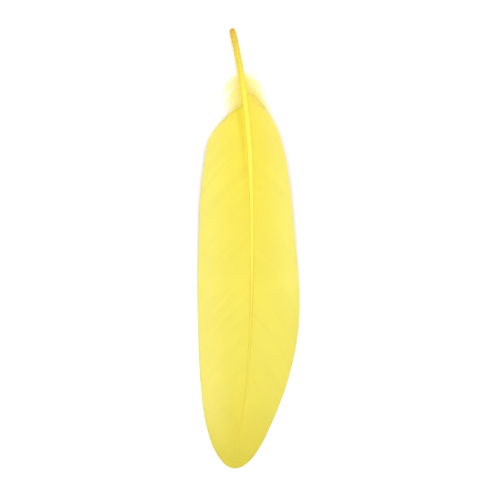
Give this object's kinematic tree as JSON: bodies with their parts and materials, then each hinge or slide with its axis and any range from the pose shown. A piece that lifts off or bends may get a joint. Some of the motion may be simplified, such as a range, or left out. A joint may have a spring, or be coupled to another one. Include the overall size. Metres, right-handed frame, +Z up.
{
  "type": "goose quill feather",
  "caption": "Loose goose feather with a bare quill, a bowed shaft, two broad rounded vanes and a little down, dyed lemon yellow, lying on its underside.",
  "frame": {"origin": "on the surface that the feather lies on, under the middle of the feather's box", "axes": "+Z up, on the feather's upper side; +Y along the feather, from its tip towards the quill's end; +X towards the narrower vane, to which the shaft bows"},
  "size_m": [0.0398, 0.1702, 0.0077],
  "materials": {
    "feather": "feather dyed lemon yellow: soft matt vanes with a faint silky sheen and fine barb lines, paler at the rims and olive at the tip, and a smooth, horny, amber quill"
  },
  "bodies": {
    "root": {"feather": "feather"}
  },
  "joints": []
}
